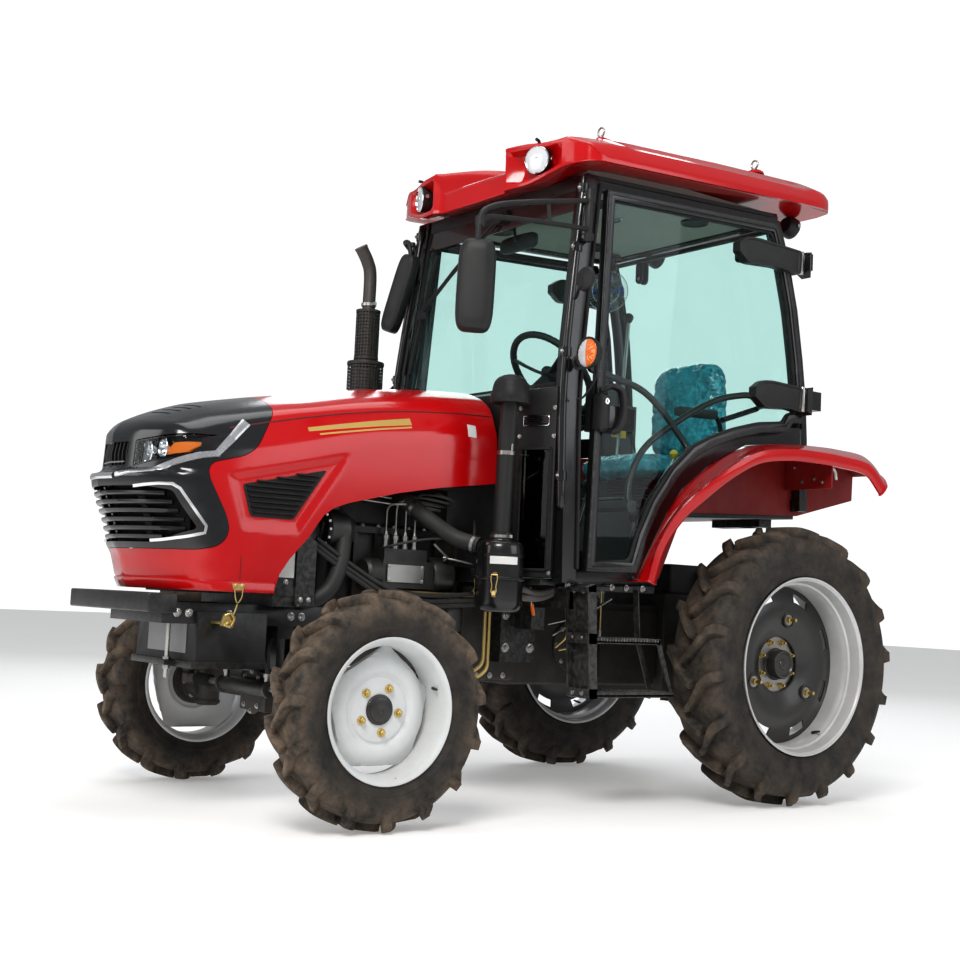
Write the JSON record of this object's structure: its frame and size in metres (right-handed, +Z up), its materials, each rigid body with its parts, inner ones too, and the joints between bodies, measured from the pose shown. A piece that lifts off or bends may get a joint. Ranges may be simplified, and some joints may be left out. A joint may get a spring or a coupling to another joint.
{
  "type": "farm tractor",
  "caption": "Compact four-wheel-drive farm tractor with a glazed cab, tilting hood, hinged doors, steered front wheels, lugged tyres and a rear linkage.",
  "frame": {"origin": "on the ground under the centre of the bounding box", "axes": "-Y is forwards, +X is the tractor's left side, +Z is up"},
  "size_m": [1.5859, 3.33, 2.548],
  "materials": {
    "amber_lens": "glossy",
    "black_gloss": "glossy",
    "black_paint": "satin",
    "black_plastic": "satin",
    "bright_steel": "bright",
    "cab_glass": "tinted",
    "cast_iron_black": "rough painted casting",
    "lamp_glass": "clear",
    "red_paint": "glossy",
    "rim_silver": "satin",
    "rim_white": "satin",
    "seat_vinyl": "soft",
    "tyre_rubber": "matte"
  },
  "bodies": {
    "chassis": {"engine_block": "cast_iron_black", "front_frame": "black_paint", "weight_bar": "black_paint", "radiator": "black_paint", "transmission": "cast_iron_black", "front_axle": "cast_iron_black", "steer_cylinder": "black_paint", "platform": "black_paint", "cab_frame": "black_paint", "windscreen": "cab_glass", "rear_window": "cab_glass", "cowl": "black_plastic", "corner_window_left": "cab_glass", "corner_window_right": "cab_glass", "roof": "red_paint", "fender_left": "red_paint", "fender_right": "red_paint", "step_left": "black_paint", "step_right": "black_paint", "seat_base": "black_plastic", "seat_cushion": "seat_vinyl", "seat_back": "seat_vinyl", "dashboard": "black_plastic", "steering_column": "black_paint", "air_cleaner": "black_paint", "intake_stack": "black_paint", "exhaust_stack": "black_paint", "mirror_left": "black_plastic", "mirror_right": "black_plastic", "turn_lamp_left": "amber_lens", "turn_lamp_right": "amber_lens", "drawbar": "cast_iron_black", "top_link": "black_paint"},
    "hood": {"hood_shell": "red_paint", "nose_mask": "black_gloss", "grille": "black_plastic", "headlamp_left": "lamp_glass", "headlamp_right": "lamp_glass"},
    "door_left": {"door_frame_left": "black_paint", "door_glass_left": "cab_glass"},
    "door_right": {"door_frame_right": "black_paint", "door_glass_right": "cab_glass"},
    "knuckle_l": {"knuckle_left": "cast_iron_black"},
    "knuckle_r": {"knuckle_right": "cast_iron_black"},
    "front_wheel_left": {"front_tyre_left": "tyre_rubber", "front_rim_left": "rim_white"},
    "front_wheel_right": {"front_tyre_right": "tyre_rubber", "front_rim_right": "rim_white"},
    "rear_wheel_left": {"rear_tyre_left": "tyre_rubber", "rear_rim_left": "rim_silver"},
    "rear_wheel_right": {"rear_tyre_right": "tyre_rubber", "rear_rim_right": "rim_silver"},
    "steering_wheel_body": {"steering_wheel": "black_plastic"},
    "tie_rod": {"steer_rod": "bright_steel"},
    "link_left": {"lower_link_left": "cast_iron_black"},
    "link_right": {"lower_link_right": "cast_iron_black"}
  },
  "joints": [
    {"name": "hood_hinge", "type": "hinge", "parent": "chassis", "child": "hood", "pos_m": [0, -0.306, 1.47], "axis": [-1, 0, 0], "range_deg": [0, 60]},
    {"name": "door_left_hinge", "type": "hinge", "parent": "chassis", "child": "door_left", "pos_m": [0.598, 0.965, 1.5], "axis": [0, 0, 1], "range_deg": [0, 70]},
    {"name": "door_right_hinge", "type": "hinge", "parent": "chassis", "child": "door_right", "pos_m": [-0.598, 0.965, 1.5], "axis": [0, 0, -1], "range_deg": [0, 70]},
    {"name": "steer_left", "type": "hinge", "parent": "chassis", "child": "knuckle_l", "pos_m": [0.515, -0.97, 0.385], "axis": [0, 0, 1], "range_deg": [-32, 32]},
    {"name": "steer_right", "type": "hinge", "parent": "chassis", "child": "knuckle_r", "pos_m": [-0.515, -0.97, 0.385], "axis": [0, 0, 1], "range_deg": [-32, 32]},
    {"name": "tie_rod_slide", "type": "slide", "parent": "chassis", "child": "tie_rod", "axis": [1, 0, 0], "range_m": [-0.07, 0.07]},
    {"name": "front_wheel_left_spin", "type": "hinge", "parent": "knuckle_l", "child": "front_wheel_left", "pos_m": [0.643, -0.97, 0.3675], "axis": [1, 0, 0], "continuous": true},
    {"name": "front_wheel_right_spin", "type": "hinge", "parent": "knuckle_r", "child": "front_wheel_right", "pos_m": [-0.643, -0.97, 0.3675], "axis": [1, 0, 0], "continuous": true},
    {"name": "rear_wheel_left_spin", "type": "hinge", "parent": "chassis", "child": "rear_wheel_left", "pos_m": [0.65, 0.85, 0.525], "axis": [1, 0, 0], "continuous": true},
    {"name": "rear_wheel_right_spin", "type": "hinge", "parent": "chassis", "child": "rear_wheel_right", "pos_m": [-0.65, 0.85, 0.525], "axis": [1, 0, 0], "continuous": true},
    {"name": "steering_wheel_turn", "type": "hinge", "parent": "chassis", "child": "steering_wheel_body", "pos_m": [0, 0.1746, 1.6106], "axis": [0, 0.7431, 0.6691], "range_deg": [-400, 400]},
    {"name": "lift_left", "type": "hinge", "parent": "chassis", "child": "link_left", "pos_m": [0.211, 0.995, 0.415], "axis": [1, 0, 0], "range_deg": [-8, 32]},
    {"name": "lift_right", "type": "hinge", "parent": "chassis", "child": "link_right", "pos_m": [-0.211, 0.995, 0.415], "axis": [1, 0, 0], "range_deg": [-8, 32]}
  ],
  "couplings": [
    {"joint": "steer_right", "follows": "steer_left", "ratio": 1},
    {"joint": "tie_rod_slide", "follows": "steer_left", "m_per_rad": 0.118},
    {"joint": "steering_wheel_turn", "follows": "steer_left", "ratio": 12},
    {"joint": "lift_right", "follows": "lift_left", "ratio": 1}
  ]
}
